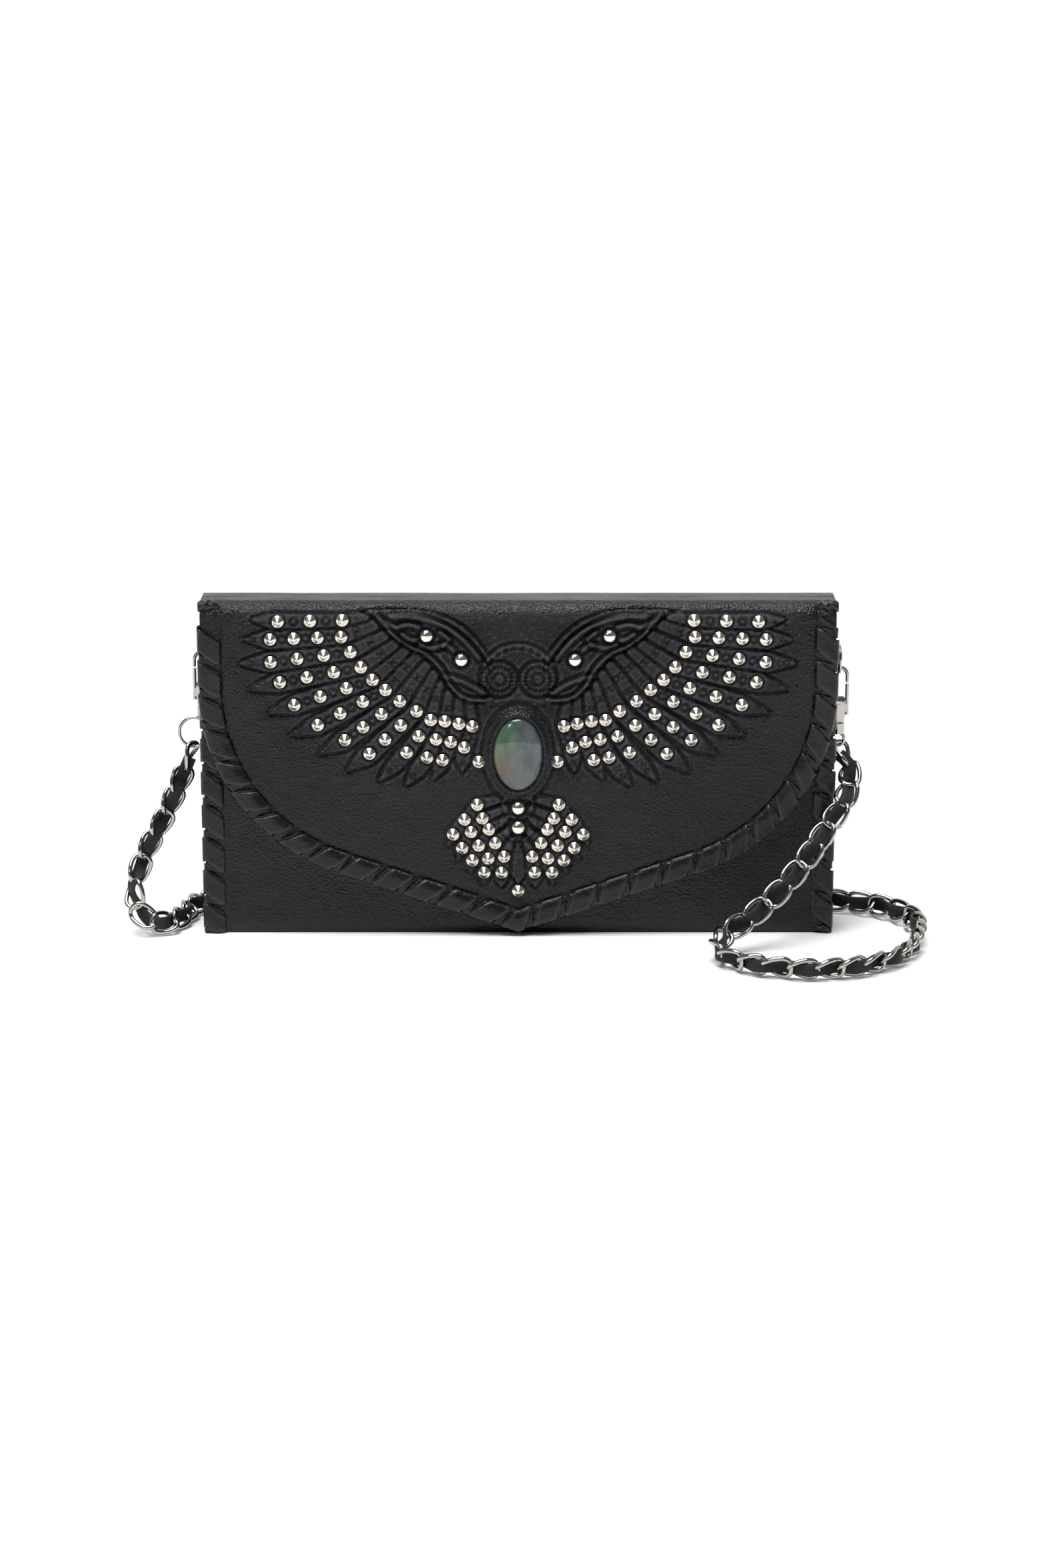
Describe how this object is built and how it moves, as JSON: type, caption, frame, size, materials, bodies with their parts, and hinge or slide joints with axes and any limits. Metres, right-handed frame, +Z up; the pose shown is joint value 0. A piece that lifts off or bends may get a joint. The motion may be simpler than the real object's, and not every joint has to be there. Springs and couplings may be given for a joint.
{
  "type": "chain wallet",
  "caption": "Long black leather envelope wallet with laced edges, studded flap, zipped coin pouch and a clip-on metal chain strap with a woven leather ribbon.",
  "frame": {"origin": "centre of the underside of the base, which the closed wallet stands on", "axes": "+Z up, +X along the width, front of the flap towards -Y"},
  "size_m": [0.3169, 0.2172, 0.134],
  "materials": {
    "tooled_leather": "semi-matt grained",
    "lace_leather": "soft sheen",
    "lining_suede": "matt",
    "strap_ribbon": "matt",
    "strap_hardware": "bright nickel",
    "stud_metal": "polished",
    "zip_metal": "satin",
    "stone": "polished"
  },
  "bodies": {
    "wallet": {"back_panel": "tooled_leather", "front_panel": "tooled_leather", "base_panel": "tooled_leather", "gusset_left": "tooled_leather", "gusset_right": "tooled_leather", "back_lining": "lining_suede", "front_lining": "lining_suede", "card_pocket_1": "tooled_leather", "card_pocket_2": "tooled_leather", "card_pocket_3": "tooled_leather", "pouch_front": "lining_suede", "pouch_back": "lining_suede", "pouch_gusset": "lining_suede", "zip_row_front": "zip_metal", "zip_row_back": "zip_metal", "zip_stops": "zip_metal", "snap_lower": "strap_hardware", "lace_front_left": "lace_leather", "lace_front_right": "lace_leather", "lace_back_left": "lace_leather", "lace_back_right": "lace_leather", "ring_tab_left": "lace_leather", "ring_tab_right": "lace_leather", "tab_rivets": "strap_hardware", "swivel_left": "strap_hardware", "swivel_right": "strap_hardware", "jump_ring": "strap_hardware", "chain_left": "strap_ribbon", "chain_behind": "strap_ribbon", "chain_right": "strap_ribbon"},
    "flap_top": {"flap_top": "tooled_leather"},
    "flap": {"flap_plate": "tooled_leather", "flap_lining": "lining_suede", "flap_lace": "lace_leather", "cone_studs": "stud_metal", "dome_studs": "stud_metal", "stone": "stone", "bezel": "tooled_leather", "snap_upper": "strap_hardware"},
    "zip_slider": {"zip_slider": "zip_metal"},
    "zip_pull": {"zip_pull": "zip_metal"},
    "ring_left": {"ring_left": "strap_hardware"},
    "ring_right": {"ring_right": "strap_hardware"},
    "clasp_left": {"clasp_left": "strap_hardware", "gate_pin_left": "strap_hardware"},
    "clasp_right": {"clasp_right": "strap_hardware", "gate_pin_right": "strap_hardware"},
    "gate_left": {"gate_left": "strap_hardware"},
    "gate_right": {"gate_right": "strap_hardware"}
  },
  "joints": [
    {"name": "flap_fold", "type": "hinge", "parent": "wallet", "child": "flap_top", "pos_m": [0, 0.0138, 0.1268], "axis": [-1, 0, 0], "range_deg": [0, 165]},
    {"name": "flap_bend", "type": "hinge", "parent": "flap_top", "child": "flap", "pos_m": [0, -0.01135, 0.13195], "axis": [-1, 0, 0], "range_deg": [0, 88]},
    {"name": "zip_slide", "type": "slide", "parent": "wallet", "child": "zip_slider", "axis": [1, 0, 0], "range_m": [0, 0.19]},
    {"name": "zip_pull_tilt", "type": "hinge", "parent": "zip_slider", "child": "zip_pull", "pos_m": [-0.096, 0.0016, 0.0976], "axis": [0, -1, 0], "range_deg": [0, 150]},
    {"name": "ring_swing_left", "type": "hinge", "parent": "wallet", "child": "ring_left", "pos_m": [-0.1236, 0.00825, 0.11455], "axis": [0, 0, 1], "range_deg": [-10, 10]},
    {"name": "clasp_swivel_left", "type": "hinge", "parent": "wallet", "child": "clasp_left", "pos_m": [-0.1236, 0.003, 0.0892], "axis": [0, 0, 1], "range_deg": [-25, 25]},
    {"name": "gate_open_left", "type": "hinge", "parent": "clasp_left", "child": "gate_left", "pos_m": [-0.1236, 0.003, 0.0952], "axis": [0, 1, 0], "range_deg": [0, 16], "stiffness_Nm_per_rad": 0.01, "springref_deg": -17.19},
    {"name": "ring_swing_right", "type": "hinge", "parent": "wallet", "child": "ring_right", "pos_m": [0.1258, 0.00825, 0.10835], "axis": [0, 0, 1], "range_deg": [-10, 10]},
    {"name": "clasp_swivel_right", "type": "hinge", "parent": "wallet", "child": "clasp_right", "pos_m": [0.1258, 0.003, 0.083], "axis": [0, 0, 1], "range_deg": [-25, 25]},
    {"name": "gate_open_right", "type": "hinge", "parent": "clasp_right", "child": "gate_right", "pos_m": [0.1258, 0.003, 0.089], "axis": [0, -1, 0], "range_deg": [0, 16], "stiffness_Nm_per_rad": 0.01, "springref_deg": -17.19}
  ]
}
